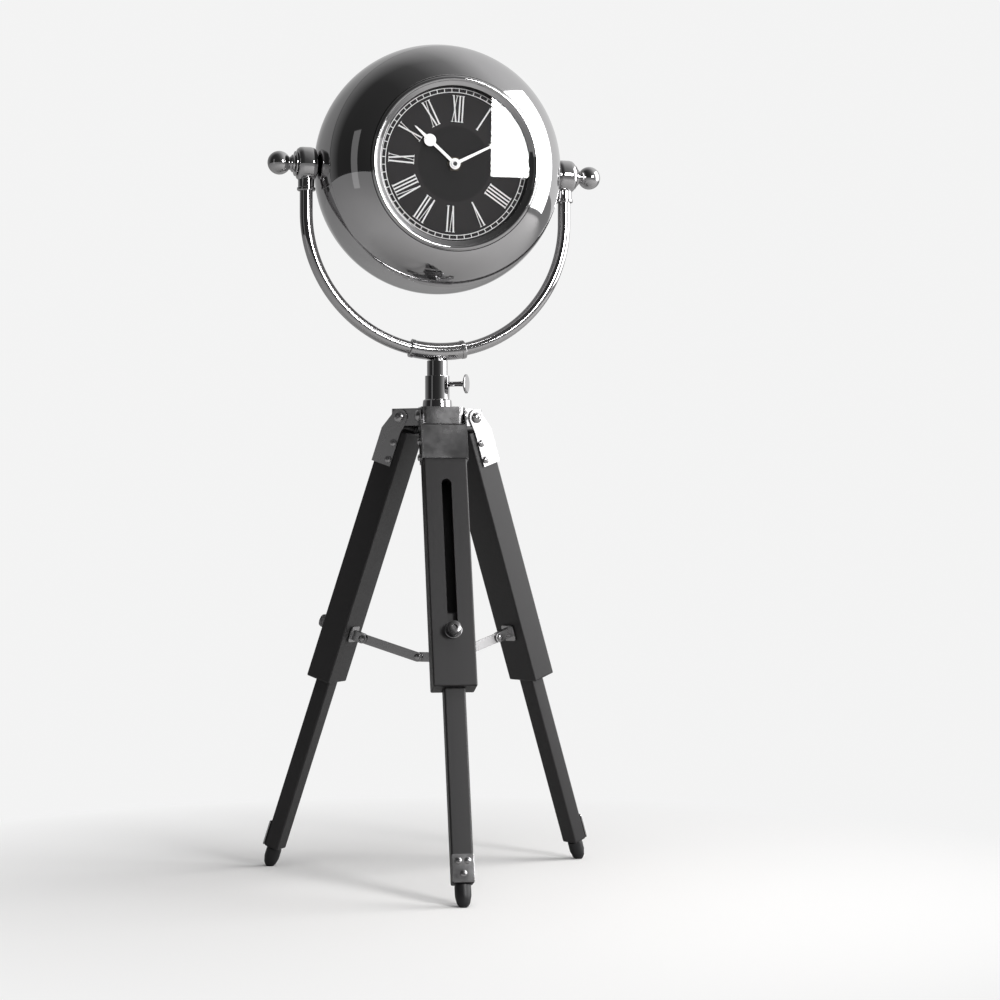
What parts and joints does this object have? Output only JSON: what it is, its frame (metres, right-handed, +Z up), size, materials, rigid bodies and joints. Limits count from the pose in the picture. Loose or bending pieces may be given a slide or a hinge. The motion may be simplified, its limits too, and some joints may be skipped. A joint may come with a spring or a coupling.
{
  "type": "tripod table clock",
  "caption": "Round clock with a polished ball head, held in a U yoke on a centre post, on a folding wooden tripod with sliding lower legs.",
  "frame": {"origin": "middle of the bounding box's bottom, on the table", "axes": "+Z up along the post; the front leg points along -Y, and the dial faces -Y, turned 7.6 degrees towards +X; +X is to the right for someone who reads the dial"},
  "size_m": [0.2662, 0.253, 0.648],
  "materials": {
    "polished_metal": "polished",
    "black_wood": "satin black paint on wood",
    "black_rubber": "matt",
    "dial_black": "matt charcoal",
    "satin_silver": "satin",
    "clear_glass": "polished",
    "black_plastic": "matt",
    "cell_jacket": "gloss",
    "brass": "turned"
  },
  "bodies": {
    "stand": {"hub": "polished_metal", "clamp_sleeve": "polished_metal", "pivot_bolt_front": "polished_metal", "pivot_bolt_right": "polished_metal", "pivot_bolt_left": "polished_metal"},
    "thumbscrew": {"thumbscrew": "polished_metal"},
    "post": {"post_tube": "polished_metal"},
    "yoke": {"yoke_tube": "polished_metal", "yoke_boss": "polished_metal", "yoke_eye_left": "polished_metal", "yoke_eye_right": "polished_metal", "washer_left": "polished_metal", "washer_right": "polished_metal"},
    "knob_left": {"ball_knob_left": "polished_metal"},
    "knob_right": {"ball_knob_right": "polished_metal"},
    "head": {"front_shell": "polished_metal", "rear_shell": "polished_metal", "bezel_ring": "polished_metal", "glass": "clear_glass", "dial_plate": "dial_black", "movement_case": "black_plastic", "battery": "cell_jacket", "movement_nut": "brass", "trunnion_left": "polished_metal", "trunnion_right": "polished_metal"},
    "rear_cover": {"rear_cover": "polished_metal"},
    "hour_hand": {"hour_hand": "satin_silver"},
    "minute_hand": {"minute_hand": "satin_silver"},
    "setting_knob": {"setting_knob": "black_plastic"},
    "spreader": {"spreader_hub": "polished_metal"},
    "leg_front": {"upper_leg_front": "black_wood", "leg_bracket_front": "polished_metal", "bracket_bolt_upper_front": "polished_metal", "bracket_bolt_lower_front": "polished_metal", "brace_bracket_front": "polished_metal"},
    "foot_front": {"lower_leg_front": "black_wood", "foot_plate_front": "polished_metal", "rubber_foot_front": "black_rubber"},
    "clamp_front": {"clamp_knob_front": "polished_metal"},
    "link_front": {"brace_link_front": "polished_metal"},
    "leg_right": {"upper_leg_right": "black_wood", "leg_bracket_right": "polished_metal", "bracket_bolt_upper_right": "polished_metal", "bracket_bolt_lower_right": "polished_metal", "brace_bracket_right": "polished_metal"},
    "foot_right": {"lower_leg_right": "black_wood", "foot_plate_right": "polished_metal", "rubber_foot_right": "black_rubber"},
    "clamp_right": {"clamp_knob_right": "polished_metal"},
    "link_right": {"brace_link_right": "polished_metal"},
    "leg_left": {"upper_leg_left": "black_wood", "leg_bracket_left": "polished_metal", "bracket_bolt_upper_left": "polished_metal", "bracket_bolt_lower_left": "polished_metal", "brace_bracket_left": "polished_metal"},
    "foot_left": {"lower_leg_left": "black_wood", "foot_plate_left": "polished_metal", "rubber_foot_left": "black_rubber"},
    "clamp_left": {"clamp_knob_left": "polished_metal"},
    "link_left": {"brace_link_left": "polished_metal"}
  },
  "joints": [
    {"name": "post_slide", "type": "slide", "parent": "stand", "child": "post", "axis": [0, 0, 1], "range_m": [-0.0065, 0.05]},
    {"name": "thumbscrew_turn", "type": "hinge", "parent": "stand", "child": "thumbscrew", "pos_m": [0, 0.02473, 0.3845], "axis": [0.9135, -0.4067, 0], "continuous": true},
    {"name": "yoke_swivel", "type": "hinge", "parent": "post", "child": "yoke", "pos_m": [0, 0.02473, 0.305], "axis": [0, 0, 1], "continuous": true},
    {"name": "head_tilt", "type": "hinge", "parent": "yoke", "child": "head", "pos_m": [0, 0.02473, 0.5517], "axis": [0.9912, 0.1323, 0], "continuous": true},
    {"name": "knob_left_turn", "type": "hinge", "parent": "yoke", "child": "knob_left", "pos_m": [0, 0.02473, 0.5517], "axis": [-0.9912, -0.1323, 0], "continuous": true},
    {"name": "knob_right_turn", "type": "hinge", "parent": "yoke", "child": "knob_right", "pos_m": [0, 0.02473, 0.5517], "axis": [0.9912, 0.1323, 0], "continuous": true},
    {"name": "rear_cover_slide", "type": "slide", "parent": "head", "child": "rear_cover", "axis": [-0.132, 0.9894, 0.061], "range_m": [0, 0.04]},
    {"name": "minute_hand_turn", "type": "hinge", "parent": "head", "child": "minute_hand", "pos_m": [0, 0.02473, 0.5517], "axis": [-0.132, 0.9894, 0.061], "continuous": true},
    {"name": "hour_hand_turn", "type": "hinge", "parent": "head", "child": "hour_hand", "pos_m": [0, 0.02473, 0.5517], "axis": [-0.132, 0.9894, 0.061], "continuous": true},
    {"name": "setting_knob_turn", "type": "hinge", "parent": "head", "child": "setting_knob", "pos_m": [0, 0.02473, 0.5517], "axis": [-0.132, 0.9894, 0.061], "continuous": true},
    {"name": "leg_front_fold", "type": "hinge", "parent": "stand", "child": "leg_front", "pos_m": [0, -0.00027, 0.3585], "axis": [1, 0, 0], "range_deg": [0, 15]},
    {"name": "foot_front_slide", "type": "slide", "parent": "leg_front", "child": "foot_front", "axis": [0, 0.3256, 0.9455], "range_m": [0, 0.112]},
    {"name": "clamp_front_turn", "type": "hinge", "parent": "foot_front", "child": "clamp_front", "pos_m": [0, -0.06689, 0.19604], "axis": [0, -0.9455, 0.3256], "continuous": true},
    {"name": "link_front_turn", "type": "hinge", "parent": "leg_front", "child": "link_front", "pos_m": [0, -0.03829, 0.18482], "axis": [1, 0, 0], "range_deg": [-87.76, 0]},
    {"name": "leg_right_fold", "type": "hinge", "parent": "stand", "child": "leg_right", "pos_m": [0.02165, 0.03723, 0.3585], "axis": [-0.5, 0.866, 0], "range_deg": [0, 15]},
    {"name": "foot_right_slide", "type": "slide", "parent": "leg_right", "child": "foot_right", "axis": [-0.2819, -0.1628, 0.9455], "range_m": [0, 0.112]},
    {"name": "clamp_right_turn", "type": "hinge", "parent": "foot_right", "child": "clamp_right", "pos_m": [0.07935, 0.07054, 0.19604], "axis": [0.8188, 0.4728, 0.3256], "continuous": true},
    {"name": "link_right_turn", "type": "hinge", "parent": "leg_right", "child": "link_right", "pos_m": [0.05457, 0.05624, 0.18482], "axis": [-0.5, 0.866, 0], "range_deg": [-87.76, 0]},
    {"name": "leg_left_fold", "type": "hinge", "parent": "stand", "child": "leg_left", "pos_m": [-0.02165, 0.03723, 0.3585], "axis": [-0.5, -0.866, 0], "range_deg": [0, 15]},
    {"name": "foot_left_slide", "type": "slide", "parent": "leg_left", "child": "foot_left", "axis": [0.2819, -0.1628, 0.9455], "range_m": [0, 0.112]},
    {"name": "clamp_left_turn", "type": "hinge", "parent": "foot_left", "child": "clamp_left", "pos_m": [-0.07935, 0.07054, 0.19604], "axis": [-0.8188, 0.4728, 0.3256], "continuous": true},
    {"name": "link_left_turn", "type": "hinge", "parent": "leg_left", "child": "link_left", "pos_m": [-0.05457, 0.05624, 0.18482], "axis": [-0.5, -0.866, 0], "range_deg": [-87.76, 0]},
    {"name": "spreader_slide", "type": "slide", "parent": "stand", "child": "spreader", "axis": [0, 0, 1], "range_m": [-0.03913, 0]}
  ],
  "couplings": [
    {"joint": "hour_hand_turn", "follows": "setting_knob_turn", "ratio": 0.083333},
    {"joint": "minute_hand_turn", "follows": "setting_knob_turn", "ratio": 1},
    {"joint": "link_front_turn", "follows": "leg_front_fold", "ratio": -5.8498},
    {"joint": "leg_right_fold", "follows": "leg_front_fold", "ratio": 1},
    {"joint": "link_right_turn", "follows": "leg_front_fold", "ratio": -5.8498},
    {"joint": "leg_left_fold", "follows": "leg_front_fold", "ratio": 1},
    {"joint": "link_left_turn", "follows": "leg_front_fold", "ratio": -5.8498},
    {"joint": "spreader_slide", "follows": "leg_front_fold", "m_per_rad": -0.14942}
  ]
}
